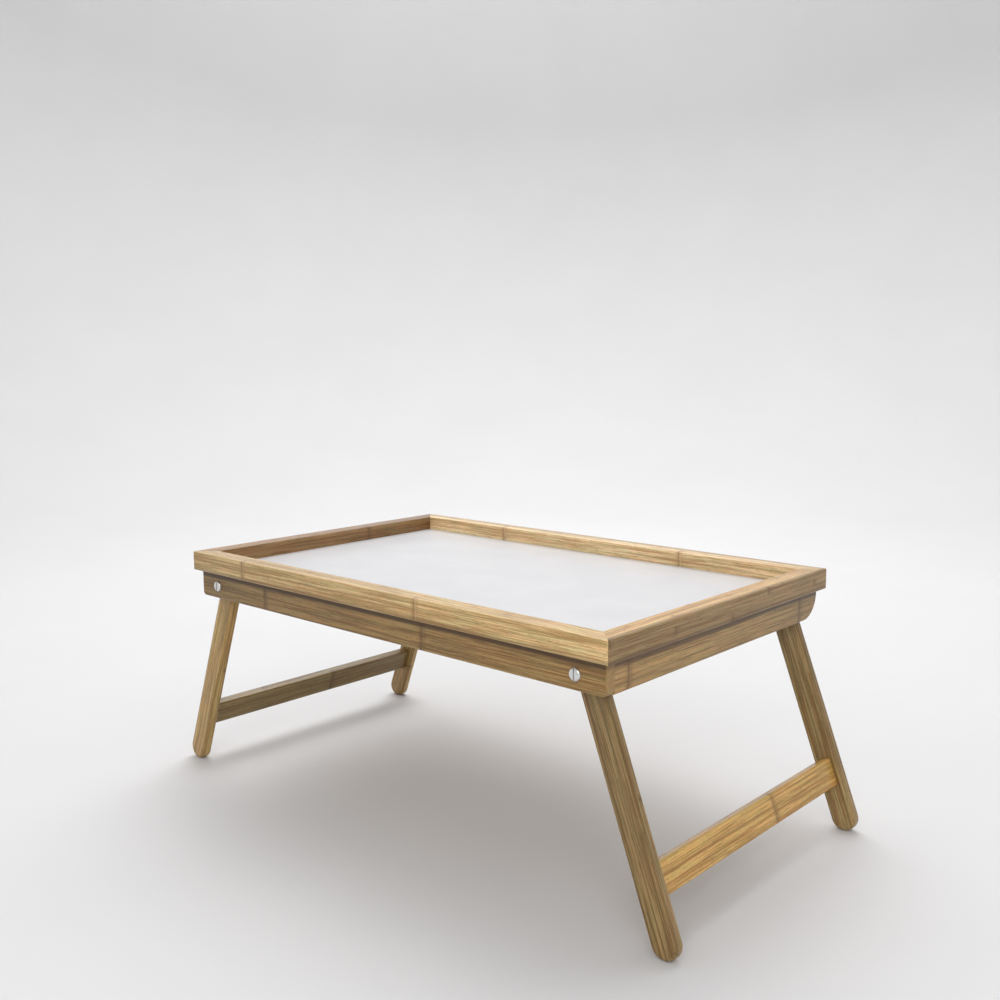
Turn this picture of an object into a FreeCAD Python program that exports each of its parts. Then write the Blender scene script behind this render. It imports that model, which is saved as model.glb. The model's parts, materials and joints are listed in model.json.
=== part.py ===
"""Folding tray table: a bamboo bed tray with a white panel and two leg frames that fold under it.

The tray is a mitred rim over a shallower apron frame. The panel's edge tongue lies in a rabbet under the
rim and rests on the aprons. Each leg frame is two round-ended legs joined by a stretcher. It turns on two
barrel bolts through the long aprons, opens until its legs lean on the end apron's lower edge, and folds
flat inside the aprons. Millimetres. X runs along the tray, Y across it from front to back, and Z is up
from the floor. The origin is on the floor, under the middle of the tray.
"""

import FreeCAD, Part
import math
import os
import Sketcher
from FreeCAD import Placement, Rotation, Vector

DIMENSIONS = [
    ("tray_length", 500, "outside length of the rim"),
    ("tray_width", 320, "outside width of the rim"),
    ("rim_width", 18, "rim board seen from above"),
    ("rim_height", 18, "rim board from top to bottom"),
    ("rim_ease", 1.2, "rounding of the rim's long edges"),
    ("panel_drop", 14, "rim top down to the panel's face"),
    ("panel_gap", 0.2, "panel to rim, all round"),
    ("tongue_width", 4.5, "rabbet under the rim, measured across the board"),
    ("tongue_thick", 2.5, "thickness of the panel's edge tongue"),
    ("apron_height", 25, "apron board from top to bottom"),
    ("apron_thick", 10, "thickness of an apron board"),
    ("apron_inset", 6, "rim face back to apron face"),
    ("front_round", 4, "lower corners of the front apron"),
    ("rear_round", 22, "lower rear edge of the apron frame"),
    ("apron_ease", 1.5, "rounding of the aprons' lower outer edges"),
    ("leg_width", 22, "width of a leg, and twice its end radius"),
    ("leg_thick", 10, "thickness of a leg"),
    ("leg_reach", 204, "pivot to the tip of the foot"),
    ("leg_splay", 20.5, "lean of an open leg, in degrees"),
    ("leg_ease", 2.8, "rounding of a leg's edges"),
    ("leg_gap", 1.2, "apron to leg, filled by a washer"),
    ("stop_gap", 0.1, "open leg to the end apron's lower edge"),
    ("pivot_rise", 12, "apron's lower edge up to the pivot"),
    ("stretcher_drop", 140, "pivot to the stretcher's upper edge, along the leg"),
    ("stretcher_height", 24, "stretcher's width along the leg"),
    ("stretcher_thick", 10, "thickness of the stretcher"),
    ("stretcher_ease", 2, "rounding of the stretcher's long edges"),
    ("barrel_radius", 3.5, "barrel nut that the leg turns on"),
    ("barrel_length", 15, "barrel nut under its head"),
    ("barrel_head", 5.5, "radius of the barrel nut's head"),
    ("barrel_cap", 1.6, "thickness of the barrel nut's head"),
    ("barrel_bore", 2.5, "radius of the barrel nut's thread"),
    ("barrel_floor", 0.8, "closed end of the barrel nut, beyond its head"),
    ("running_gap", 0.08, "barrel nut to the leg's hole, on the radius"),
    ("fit_gap", 0.05, "fixed pin to its hole, on the radius"),
    ("bolt_head", 5, "radius of the pivot bolt's head"),
    ("bolt_crown", 2.2, "height of the pivot bolt's head"),
    ("bolt_crown_round", 1.6, "rounding of the pivot bolt's head"),
    ("bolt_length", 14, "pivot bolt under its head"),
    ("bolt_recess", 6, "radius of the rear bolts' recess"),
    ("recess_depth", 6, "rear face of the apron in to the rear bolts' seat"),
    ("slot_width", 1.2, "driver slot"),
    ("slot_depth", 0.9, "driver slot"),
    ("washer_radius", 7, "washer between apron and leg"),
    ("washer_thick", 1, "washer between apron and leg"),
    ("rim_peg_radius", 2, "dowel from apron up into rim"),
    ("rim_peg_length", 20, "dowel from apron up into rim, half in each"),
    ("long_peg_pitch", 150, "those dowels along a long side"),
    ("end_peg_pitch", 150, "those dowels along an end"),
    ("apron_peg_radius", 2.5, "dowel in an apron corner"),
    ("apron_peg_length", 20, "dowel in an apron corner"),
    ("apron_peg_depth", 6, "part of that dowel in the board's face"),
    ("apron_peg_low", 5.5, "apron's lower edge up to a front corner's lower dowel"),
    ("apron_peg_high", 19.5, "apron's lower edge up to a corner's upper dowel"),
    ("leg_peg_radius", 3, "dowel between leg and stretcher"),
    ("leg_peg_length", 24, "dowel between leg and stretcher"),
    ("leg_peg_depth", 7, "part of that dowel in the leg"),
    ("leg_peg_offset", 6, "stretcher's middle line to a dowel"),
]

SPLAY = "Dims.leg_splay"
PIVOT_Z = f"((Dims.leg_reach - Dims.leg_width / 2) * cos({SPLAY}) + Dims.leg_width / 2)"
APRON_BASE = f"({PIVOT_Z} - Dims.pivot_rise)"
APRON_TOP = f"({APRON_BASE} + Dims.apron_height)"
APRON_END_X = "(Dims.tray_length / 2 - Dims.apron_inset)"
APRON_INNER_X = f"({APRON_END_X} - Dims.apron_thick)"
APRON_FACE_Y = "(Dims.tray_width / 2 - Dims.apron_inset)"
APRON_INNER_Y = f"({APRON_FACE_Y} - Dims.apron_thick)"
STOP_REACH = f"(Dims.leg_width / 2 + Dims.stop_gap + Dims.pivot_rise * sin({SPLAY}))"
PIVOT_X = f"({APRON_INNER_X} - {STOP_REACH} / cos({SPLAY}))"
LEG_OUTER_Y = f"({APRON_INNER_Y} - Dims.leg_gap)"
LEG_INNER_Y = f"({LEG_OUTER_Y} - Dims.leg_thick)"
APRON_MIDDLE_X = f"({APRON_END_X} - Dims.apron_thick / 2)"
APRON_MIDDLE_Y = f"({APRON_FACE_Y} - Dims.apron_thick / 2)"
APRON_PEG_HOLE = "(Dims.apron_peg_radius + Dims.fit_gap)"
RIM_PEG_HOLE = "(Dims.rim_peg_radius + Dims.fit_gap)"
RIM_PEG_DEPTH = "(Dims.rim_peg_length / 2 + Dims.fit_gap)"
BARREL_HOLE = "(Dims.barrel_radius + Dims.fit_gap)"
FACE_PEG_DEPTH = "(Dims.apron_peg_depth + Dims.fit_gap)"
END_PEG_DEPTH = "(Dims.apron_peg_length - Dims.apron_peg_depth + Dims.fit_gap)"
PIVOT_PLACES = [(f"-{PIVOT_X}", "Dims.pivot_rise"), (PIVOT_X, "Dims.pivot_rise")]
REAR_PEG = ["Dims.apron_peg_high"]
LONG_PEGS = ["-Dims.long_peg_pitch", "0", "Dims.long_peg_pitch"]
END_PEGS = ["-Dims.end_peg_pitch / 2", "Dims.end_peg_pitch / 2"]
STRETCHER_MIDDLE = "(Dims.stretcher_drop + Dims.stretcher_height / 2)"
LEG_PEG_PLACES = [
    ("0", f"-({STRETCHER_MIDDLE} - Dims.leg_peg_offset)"),
    ("0", f"-({STRETCHER_MIDDLE} + Dims.leg_peg_offset)"),
]

QUARTER_TURN, HALF_TURN, FULL_TURN = 90, 180, 360
OVERCUT = 1
TINY_CUT = 1
SAME_LENGTH = 1e-4

doc = FreeCAD.newDocument("folding_tray_table")
nodes = []


# ---- the sheet, and sizes read from it ----


def fill_sheet():
    sheet = doc.addObject("Spreadsheet::Sheet", "Dims")
    for row, (alias, size, note) in enumerate(DIMENSIONS, start=1):
        sheet.set(f"A{row}", note)
        sheet.set(f"B{row}", str(size))
        sheet.setAlias(f"B{row}", alias)
    doc.recompute()
    return sheet


def size_of(expression):
    return float(sheet.evalExpression(expression))


def bind(feature, bindings):
    for path, expression in bindings.items():
        feature.setExpression(path, expression)


def place(feature, x="0", y="0", z="0", turn=Rotation()):
    """Stand a feature at a place given by expressions, turned by a rotation."""
    feature.Placement = Placement(Vector(), turn)
    bind(feature, {"Placement.Base.x": x, "Placement.Base.y": y, "Placement.Base.z": z})


def turn_about(axis, angle):
    return Rotation(Vector(*axis), angle)


# ---- bodies, sketches and features ----


def new_body(label):
    body = doc.addObject("PartDesign::Body", label)
    body.Label = label
    nodes.append(body)
    return body


def new_sketch(body, role, offset="0"):
    """A sketch on one of the body's own origin planes, moved along the plane's normal by offset."""
    sketch = body.newObject("Sketcher::SketchObject", f"{body.Label}_sketch")
    plane = next(f for f in body.Origin.OriginFeatures if f.Role == role)
    sketch.AttachmentSupport = [(plane, "")]
    sketch.MapMode = "FlatFace"
    bind(sketch, {"AttachmentOffset.Base.z": offset})
    return sketch


def pin_point(sketch, curve, point, x, y):
    """Hold one point of a curve at x, y from the sketch's origin."""
    axes = (("DistanceX", x, -2), ("DistanceY", y, -1))
    for kind, expression, axis in axes:
        size = size_of(expression)
        if size == 0:
            sketch.addConstraint(Sketcher.Constraint("PointOnObject", curve, point, axis))
            continue
        ends = (-1, 1, curve, point) if size > 0 else (curve, point, -1, 1)
        index = sketch.addConstraint(Sketcher.Constraint(kind, *ends, abs(size)))
        sign = "" if size > 0 else "-1 * "
        bind(sketch, {f"Constraints[{index}]": f"{sign}({expression})"})


def draw_polygon(sketch, points):
    corners = [Vector(size_of(x), size_of(y), 0) for x, y in points]
    count = len(corners)
    for i in range(count):
        sketch.addGeometry(Part.LineSegment(corners[i], corners[(i + 1) % count]), False)
    for i, (x, y) in enumerate(points):
        sketch.addConstraint(Sketcher.Constraint("Coincident", i, 2, (i + 1) % count, 1))
        pin_point(sketch, i, 1, x, y)


def draw_rectangle(sketch, left, right, bottom, top):
    draw_polygon(sketch, [(left, bottom), (right, bottom), (right, top), (left, top)])


def draw_circles(sketch, centres, radius):
    for x, y in centres:
        centre = Vector(size_of(x), size_of(y), 0)
        circle = Part.Circle(centre, Vector(0, 0, 1), size_of(radius))
        curve = sketch.addGeometry(circle, False)
        pin_point(sketch, curve, 3, x, y)
        index = sketch.addConstraint(Sketcher.Constraint("Radius", curve, size_of(radius)))
        bind(sketch, {f"Constraints[{index}]": radius})


def draw_stadium(sketch, radius, length):
    """A round-ended strip: one end's centre on the origin, the other's the given length below it."""
    r, reach = size_of(radius), size_of(length)
    up, low = Vector(0, 0, 0), Vector(0, -reach, 0)
    normal = Vector(0, 0, 1)
    curves = [
        Part.ArcOfCircle(Part.Circle(up, normal, r), 0, math.pi),
        Part.LineSegment(Vector(-r, 0, 0), Vector(-r, -reach, 0)),
        Part.ArcOfCircle(Part.Circle(low, normal, r), math.pi, math.tau),
        Part.LineSegment(Vector(r, -reach, 0), Vector(r, 0, 0)),
    ]
    for curve in curves:
        sketch.addGeometry(curve, False)
    joints = ((0, 2, 1, 1), (1, 2, 2, 1), (2, 2, 3, 1), (3, 2, 0, 1))
    for joint in joints:
        sketch.addConstraint(Sketcher.Constraint("Tangent", *joint))
    sketch.addConstraint(Sketcher.Constraint("Coincident", 0, 3, -1, 1))
    sketch.addConstraint(Sketcher.Constraint("Vertical", 1))
    index = sketch.addConstraint(Sketcher.Constraint("Radius", 0, r))
    bind(sketch, {f"Constraints[{index}]": radius})
    pin_point(sketch, 2, 3, "0", f"-({length})")


def add_pad(body, sketch, length, both_ways=False):
    pad = body.newObject("PartDesign::Pad", f"{body.Label}_pad")
    pad.Profile = sketch
    pad.SideType = "Symmetric" if both_ways else "One side"
    bind(pad, {"Length": length})
    doc.recompute()
    return pad


def cut_pocket(body, sketch, depth=None, both_ways=False, reverse=False):
    """Cut to a depth, or right through when no depth is given, and make sure that something was cut."""
    before = body.Shape.Volume
    pocket = body.newObject("PartDesign::Pocket", f"{body.Label}_pocket")
    pocket.Profile = sketch
    pocket.SideType = "Symmetric" if both_ways else "One side"
    pocket.Reversed = reverse
    if depth is None:
        pocket.Type = "ThroughAll"
    else:
        bind(pocket, {"Length": depth})
    doc.recompute()
    if body.Shape.Volume > before - TINY_CUT:
        raise RuntimeError(f"{pocket.Label} cuts nothing")
    return pocket


def edges_where(body, test):
    edges = body.Shape.copy()
    edges.Placement = Placement()
    return [f"Edge{i}" for i, edge in enumerate(edges.Edges, start=1) if test(edge)]


def dress_edges(body, kind, edge_names, size):
    """Round (Fillet) or bevel (Chamfer) the named edges of the body."""
    if not edge_names:
        raise RuntimeError(f"{body.Label} has no such edges")
    base = body.Tip
    dressing = body.newObject(f"PartDesign::{kind}", f"{body.Label}_{kind.lower()}")
    dressing.Base = (base, edge_names)
    bind(dressing, {"Radius" if kind == "Fillet" else "Size": size})
    doc.recompute()
    return dressing


def revolve(body, sketch):
    turned = body.newObject("PartDesign::Revolution", f"{body.Label}_turned")
    turned.Profile = sketch
    turned.ReferenceAxis = (sketch, ["V_Axis"])
    turned.Angle = FULL_TURN
    doc.recompute()
    return turned


def runs_along(edge, axis):
    ends = [vertex.Point for vertex in edge.Vertexes]
    if len(ends) != 2:
        return False
    step = ends[1] - ends[0]
    return near(abs(step.dot(axis)), step.Length) and near(edge.Length, step.Length)


def near(a, b):
    return abs(a - b) < SAME_LENGTH


# ---- rim and panel ----


def make_rim_board(label, half_length, half_depth, angle, peg_places):
    """One mitred rim board, drawn as the front board and turned about Z to its own side."""
    body = new_body(label)
    outer, inner = f"-{half_depth}", f"-({half_depth} - Dims.rim_width)"
    inner_tip = f"({half_length} - Dims.rim_width)"
    blunt, half_blunt = "Dims.rim_ease", "Dims.rim_ease / 2"
    right = [(f"({half_length} - {blunt})", outer)]
    right += [(f"({half_length} - {half_blunt})", f"({outer} + {half_blunt})"), (inner_tip, inner)]
    left = [(f"-{x}", y) for x, y in reversed(right)]
    plan = new_sketch(body, "XY_Plane")
    draw_polygon(plan, right + left)
    add_pad(body, plan, "Dims.rim_height")

    outer_y, inner_y = size_of(outer), size_of(inner)
    top = size_of("Dims.rim_height")

    def is_long_edge(edge):
        centre = edge.CenterOfMass
        if not runs_along(edge, Vector(1, 0, 0)):
            return False
        return near(centre.y, outer_y) or (near(centre.y, inner_y) and near(centre.z, top))

    dress_edges(body, "Fillet", edges_where(body, is_long_edge), "Dims.rim_ease")

    rabbet = new_sketch(body, "YZ_Plane")
    shoulder, roof = f"({inner} - Dims.tongue_width)", "(Dims.tongue_thick + Dims.fit_gap)"
    draw_rectangle(rabbet, shoulder, f"({inner} + {OVERCUT})", f"-{OVERCUT}", roof)
    cut_pocket(body, rabbet, both_ways=True)

    pegs = new_sketch(body, "XY_Plane")
    line = f"-({half_depth} - Dims.apron_inset - Dims.apron_thick / 2)"
    draw_circles(pegs, [(x, line) for x in peg_places], RIM_PEG_HOLE)
    cut_pocket(body, pegs, depth=RIM_PEG_DEPTH, reverse=True)
    place(body, z=APRON_TOP, turn=turn_about((0, 0, 1), angle))


def make_panel():
    """White-faced board. Its tongue lies under the rim, and its face stands up inside the rim."""
    body = new_body("tray_panel")
    tongue = new_sketch(body, "XY_Plane")
    reach = "(Dims.rim_width - Dims.tongue_width + Dims.panel_gap)"
    x, y = f"(Dims.tray_length / 2 - {reach})", f"(Dims.tray_width / 2 - {reach})"
    draw_rectangle(tongue, f"-{x}", x, f"-{y}", y)
    add_pad(body, tongue, "Dims.tongue_thick")
    face = new_sketch(body, "XY_Plane")
    edge = "(Dims.rim_width + Dims.panel_gap)"
    x, y = f"(Dims.tray_length / 2 - {edge})", f"(Dims.tray_width / 2 - {edge})"
    draw_rectangle(face, f"-{x}", x, f"-{y}", y)
    add_pad(body, face, "(Dims.rim_height - Dims.panel_drop)")
    place(body, z=APRON_TOP)


# ---- aprons ----


def peg_heights(across, heights=("Dims.apron_peg_low", "Dims.apron_peg_high")):
    return [(x, height) for x in across for height in heights]


def cut_rim_peg_holes(body, centres):
    """Blind holes down into the upper edge of an apron whose lower edge is at the body's Z = 0."""
    plan = new_sketch(body, "XY_Plane", "Dims.apron_height")
    draw_circles(plan, centres, RIM_PEG_HOLE)
    cut_pocket(body, plan, depth=RIM_PEG_DEPTH)


def make_front_apron():
    """The front board covers the ends of the end boards. Its lower corners are rounded."""
    body = new_body("apron_front")
    elevation = new_sketch(body, "XZ_Plane")
    draw_rectangle(elevation, f"-{APRON_END_X}", APRON_END_X, "0", "Dims.apron_height")
    add_pad(body, elevation, "Dims.apron_thick", both_ways=True)
    half_length, skin = size_of(APRON_END_X), size_of("Dims.apron_thick") / 2

    def is_low_corner(edge):
        centre = edge.CenterOfMass
        return runs_along(edge, Vector(0, 1, 0)) and near(centre.z, 0) and near(abs(centre.x), half_length)

    def is_low_edge(edge):
        centre = edge.CenterOfMass
        return runs_along(edge, Vector(1, 0, 0)) and near(centre.z, 0) and near(centre.y, -skin)

    dress_edges(body, "Fillet", edges_where(body, is_low_corner), "Dims.front_round")
    dress_edges(body, "Fillet", edges_where(body, is_low_edge), "Dims.apron_ease")
    cut_pivot_holes(body)
    cut_rim_peg_holes(body, [(x, "0") for x in LONG_PEGS])
    pegs = new_sketch(body, "XZ_Plane", "-Dims.apron_thick / 2")
    draw_circles(pegs, peg_heights([f"-{APRON_MIDDLE_X}", APRON_MIDDLE_X]), APRON_PEG_HOLE)
    cut_pocket(body, pegs, depth=FACE_PEG_DEPTH, reverse=True)
    place(body, y=f"-{APRON_MIDDLE_Y}", z=APRON_BASE)


def make_back_apron():
    """The rear board stands between the end boards. Its outer face is rounded to their rear corners."""
    body = new_body("apron_back")
    section = new_sketch(body, "YZ_Plane")
    half = "Dims.apron_thick / 2"
    arc_y = f"({half} - Dims.rear_round)"
    radius = size_of("Dims.rear_round")
    skin, round_y, height = size_of(half), size_of(arc_y), size_of("Dims.apron_height")
    inner_low = radius - (radius**2 - (skin + round_y) ** 2) ** 0.5
    centre = Vector(round_y, radius, 0)
    circle = Part.Circle(centre, Vector(0, 0, 1), radius)
    start, end = circle.parameter(Vector(-skin, inner_low, 0)), circle.parameter(Vector(skin, radius, 0))
    full_turn = circle.LastParameter
    arc = Part.ArcOfCircle(circle, start, end + full_turn if end < start else end)
    corners = [(skin, radius), (skin, height), (-skin, height), (-skin, inner_low)]
    points = [Vector(y, z, 0) for y, z in corners]
    section.addGeometry(arc, False)
    for first, second in zip(points, points[1:]):
        section.addGeometry(Part.LineSegment(first, second), False)
    for curve in range(4):
        joint = (curve, 2, (curve + 1) % 4, 1)
        section.addConstraint(Sketcher.Constraint("Coincident", *joint))
    pin_point(section, 0, 3, arc_y, "Dims.rear_round")
    pin_point(section, 1, 1, half, "Dims.rear_round")
    pin_point(section, 2, 1, half, "Dims.apron_height")
    pin_point(section, 3, 1, f"-{half}", "Dims.apron_height")
    section.addConstraint(Sketcher.Constraint("Vertical", 3))
    add_pad(body, section, f"2 * {APRON_INNER_X}", both_ways=True)
    cut_pivot_holes(body)
    recess = new_sketch(body, "XZ_Plane", f"-({half} + {OVERCUT})")
    draw_circles(recess, PIVOT_PLACES, "Dims.bolt_recess")
    cut_pocket(body, recess, depth=f"(Dims.recess_depth + {OVERCUT})", reverse=True)
    cut_rim_peg_holes(body, [(x, "0") for x in LONG_PEGS])
    for end in (-1, 1):
        pegs = new_sketch(body, "YZ_Plane", f"{end} * {APRON_INNER_X}")
        draw_circles(pegs, peg_heights(["0"], REAR_PEG), APRON_PEG_HOLE)
        cut_pocket(body, pegs, depth=END_PEG_DEPTH, reverse=end < 0)
    place(body, y=APRON_MIDDLE_Y, z=APRON_BASE)


def cut_pivot_holes(body):
    pivots = new_sketch(body, "XZ_Plane")
    draw_circles(pivots, PIVOT_PLACES, BARREL_HOLE)
    cut_pocket(body, pivots, both_ways=True)


def make_end_apron(label, side):
    """End board, from the front board's back to the tray's rear, with its lower rear corner rounded."""
    body = new_body(label)
    profile = new_sketch(body, "YZ_Plane")
    draw_rectangle(profile, f"-{APRON_INNER_Y}", APRON_FACE_Y, "0", "Dims.apron_height")
    add_pad(body, profile, "Dims.apron_thick", both_ways=True)
    rear, skin = size_of(APRON_FACE_Y), size_of("Dims.apron_thick") / 2

    def is_rear_corner(edge):
        centre = edge.CenterOfMass
        return runs_along(edge, Vector(1, 0, 0)) and near(centre.z, 0) and near(centre.y, rear)

    def is_low_edge(edge):
        centre = edge.CenterOfMass
        return runs_along(edge, Vector(0, 1, 0)) and near(centre.z, 0) and near(centre.x, side * skin)

    dress_edges(body, "Fillet", edges_where(body, is_rear_corner), "Dims.rear_round")
    dress_edges(body, "Fillet", edges_where(body, is_low_edge), "Dims.apron_ease")
    cut_rim_peg_holes(body, [("0", y) for y in END_PEGS])
    front_pegs = new_sketch(body, "XZ_Plane", APRON_INNER_Y)
    draw_circles(front_pegs, peg_heights(["0"]), APRON_PEG_HOLE)
    cut_pocket(body, front_pegs, depth=END_PEG_DEPTH)
    rear_pegs = new_sketch(body, "YZ_Plane", f"{-side} * Dims.apron_thick / 2")
    draw_circles(rear_pegs, peg_heights([APRON_MIDDLE_Y], REAR_PEG), APRON_PEG_HOLE)
    cut_pocket(body, rear_pegs, depth=FACE_PEG_DEPTH, reverse=side > 0)
    place(body, x=f"{side} * {APRON_MIDDLE_X}", z=APRON_BASE)


# ---- leg frames ----


def leg_turn(side):
    """The lean of an open leg: its foot is outside its pivot."""
    return turn_about((0, 1, 0), -side * size_of(SPLAY))


def make_leg(label, side, end):
    """A round-ended leg, with its pivot at the body's origin. side is its leg frame, end is front or rear."""
    body = new_body(label)
    outline = new_sketch(body, "XZ_Plane")
    draw_stadium(outline, "Dims.leg_width / 2", "(Dims.leg_reach - Dims.leg_width / 2)")
    add_pad(body, outline, "Dims.leg_thick", both_ways=True)
    skin = size_of("Dims.leg_thick") / 2

    def is_outline(edge):
        in_face = all(near(abs(vertex.Y), skin) for vertex in edge.Vertexes)
        return in_face and near(abs(edge.CenterOfMass.y), skin)

    dress_edges(body, "Fillet", edges_where(body, is_outline), "Dims.leg_ease")
    pivot = new_sketch(body, "XZ_Plane")
    draw_circles(pivot, [("0", "0")], "(Dims.barrel_radius + Dims.running_gap)")
    cut_pocket(body, pivot, both_ways=True)
    pegs = new_sketch(body, "XZ_Plane", f"{end} * Dims.leg_thick / 2")
    draw_circles(pegs, LEG_PEG_PLACES, "(Dims.leg_peg_radius + Dims.fit_gap)")
    cut_pocket(body, pegs, depth="(Dims.leg_peg_depth + Dims.fit_gap)", reverse=end < 0)
    middle = f"({LEG_OUTER_Y} - Dims.leg_thick / 2)"
    place(body, f"{side} * {PIVOT_X}", f"{end} * {middle}", PIVOT_Z, leg_turn(side))


def make_stretcher(label, side):
    """A flat board between the legs of one frame, in the middle of their width."""
    body = new_body(label)
    section = new_sketch(body, "XZ_Plane")
    bottom = "-(Dims.stretcher_drop + Dims.stretcher_height)"
    half = "Dims.stretcher_thick / 2"
    draw_rectangle(section, f"-{half}", half, bottom, "-Dims.stretcher_drop")
    add_pad(body, section, f"2 * {LEG_INNER_Y}", both_ways=True)
    long_edges = edges_where(body, lambda edge: runs_along(edge, Vector(0, 1, 0)))
    dress_edges(body, "Fillet", long_edges, "Dims.stretcher_ease")
    for end in (-1, 1):
        pegs = new_sketch(body, "XZ_Plane", f"{end} * {LEG_INNER_Y}")
        draw_circles(pegs, LEG_PEG_PLACES, "(Dims.leg_peg_radius + Dims.fit_gap)")
        depth = "(Dims.leg_peg_length - Dims.leg_peg_depth + Dims.fit_gap)"
        cut_pocket(body, pegs, depth=depth, reverse=end < 0)
    place(body, x=f"{side} * {PIVOT_X}", z=PIVOT_Z, turn=leg_turn(side))


# ---- pivots ----


def along_y(end):
    """Turn a fastener's own +Z to point out of the front or the rear."""
    return turn_about((1, 0, 0), -end * QUARTER_TURN)


def cut_slot(body, face, head, reverse=False):
    """A driver slot right across a head, cut down from its face, or up from it when reversed."""
    slot = new_sketch(body, "XY_Plane", face)
    half_width, reach = "Dims.slot_width / 2", f"({head} + {OVERCUT})"
    draw_rectangle(slot, f"-{half_width}", half_width, f"-{reach}", reach)
    cut_pocket(body, slot, depth="Dims.slot_depth", reverse=reverse)


def make_pivot_bolt(label, side, end):
    """Slotted round-head bolt, screwed into the barrel nut from outside. A rear one sits in a recess."""
    body = new_body(label)
    half = new_sketch(body, "XZ_Plane")
    shank, tip = "(Dims.barrel_bore - Dims.fit_gap)", "-Dims.bolt_length"
    points = [("0", tip), (shank, tip), (shank, "0"), ("Dims.bolt_head", "0")]
    points += [("Dims.bolt_head", "Dims.bolt_crown"), ("0", "Dims.bolt_crown")]
    draw_polygon(half, points)
    revolve(body, half)
    crown, head = size_of("Dims.bolt_crown"), size_of("Dims.bolt_head")

    def is_crown(edge):
        curve = edge.Curve
        return isinstance(curve, Part.Circle) and near(curve.Radius, head) and near(curve.Center.z, crown)

    dress_edges(body, "Fillet", edges_where(body, is_crown), "Dims.bolt_crown_round")
    cut_slot(body, "Dims.bolt_crown", "Dims.bolt_head")
    seat = APRON_FACE_Y if end < 0 else f"({APRON_FACE_Y} - Dims.recess_depth)"
    place(body, f"{side} * {PIVOT_X}", f"{end} * {seat}", PIVOT_Z, along_y(end))


def make_barrel_nut(label, side, end):
    """Sleeve nut that the leg turns on. Its head bears on the leg's inner face."""
    body = new_body(label)
    half = new_sketch(body, "XZ_Plane")
    bore, wall, head = "Dims.barrel_bore", "Dims.barrel_radius", "Dims.barrel_head"
    tip, cap, floor = "Dims.barrel_length", "-Dims.barrel_cap", "Dims.barrel_floor"
    points = [("0", cap), (head, cap), (head, "0"), (wall, "0"), (wall, tip), (bore, tip)]
    points += [(bore, floor), ("0", floor)]
    draw_polygon(half, points)
    revolve(body, half)
    cut_slot(body, cap, head, reverse=True)
    seat = f"({LEG_INNER_Y} - Dims.running_gap)"
    place(body, f"{side} * {PIVOT_X}", f"{end} * {seat}", PIVOT_Z, along_y(end))


def make_washer(label, side, end):
    body = new_body(label)
    ring = new_sketch(body, "XY_Plane")
    draw_circles(ring, [("0", "0")], "Dims.washer_radius")
    add_pad(body, ring, "Dims.washer_thick")
    hole = new_sketch(body, "XY_Plane")
    draw_circles(hole, [("0", "0")], BARREL_HOLE)
    cut_pocket(body, hole, both_ways=True)
    seat = f"({APRON_INNER_Y} - Dims.washer_thick)"
    place(body, f"{side} * {PIVOT_X}", f"{end} * {seat}", PIVOT_Z, along_y(end))


# ---- dowels, each kind one node ----


def make_peg_group(label, radius, length, places):
    """Dowels as one group. Each place is x, y, z of one end, and the rotation of the dowel's own +Z."""
    pegs = []
    for x, y, z, turn in places:
        peg = doc.addObject("Part::Cylinder", f"{label}_peg")
        bind(peg, {"Radius": radius, "Height": length})
        place(peg, x, y, z, turn)
        pegs.append(peg)
    group = doc.addObject("Part::Compound", label)
    group.Label = label
    group.Links = pegs
    nodes.append(group)


def make_apron_dowels():
    """Two dowels in each front corner of the apron frame, and one in each rear corner."""
    places = []
    rear_z = f"({APRON_BASE} + Dims.apron_peg_high)"
    for side in (-1, 1):
        for height in ("Dims.apron_peg_low", "Dims.apron_peg_high"):
            start = f"-({APRON_INNER_Y} + Dims.apron_peg_depth)"
            turn = turn_about((1, 0, 0), -QUARTER_TURN)
            places.append((f"{side} * {APRON_MIDDLE_X}", start, f"({APRON_BASE} + {height})", turn))
        start = f"{side} * ({APRON_INNER_X} + Dims.apron_peg_depth)"
        places.append((start, APRON_MIDDLE_Y, rear_z, turn_about((0, 1, 0), -side * QUARTER_TURN)))
    make_peg_group("apron_dowels", "Dims.apron_peg_radius", "Dims.apron_peg_length", places)


def make_rim_dowels():
    """Upright dowels that hold the aprons to the rim."""
    places = []
    low = f"({APRON_TOP} - Dims.rim_peg_length / 2)"
    for side in (-1, 1):
        places += [(x, f"{side} * {APRON_MIDDLE_Y}", low, Rotation()) for x in LONG_PEGS]
        places += [(f"{side} * {APRON_MIDDLE_X}", y, low, Rotation()) for y in END_PEGS]
    make_peg_group("rim_dowels", "Dims.rim_peg_radius", "Dims.rim_peg_length", places)


def make_leg_dowels(label, side):
    """Dowels from the stretcher's ends into the legs of one frame."""
    places = []
    for end in (-1, 1):
        for offset in ("-Dims.leg_peg_offset", "Dims.leg_peg_offset"):
            along = f"({STRETCHER_MIDDLE} + {offset})"
            x = f"{side} * ({PIVOT_X} + {along} * sin({SPLAY}))"
            z = f"({PIVOT_Z} - {along} * cos({SPLAY}))"
            start = f"{end} * ({LEG_INNER_Y} + Dims.leg_peg_depth)"
            places.append((x, start, z, turn_about((1, 0, 0), end * QUARTER_TURN)))
    make_peg_group(label, "Dims.leg_peg_radius", "Dims.leg_peg_length", places)


# ---- the whole table ----


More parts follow.
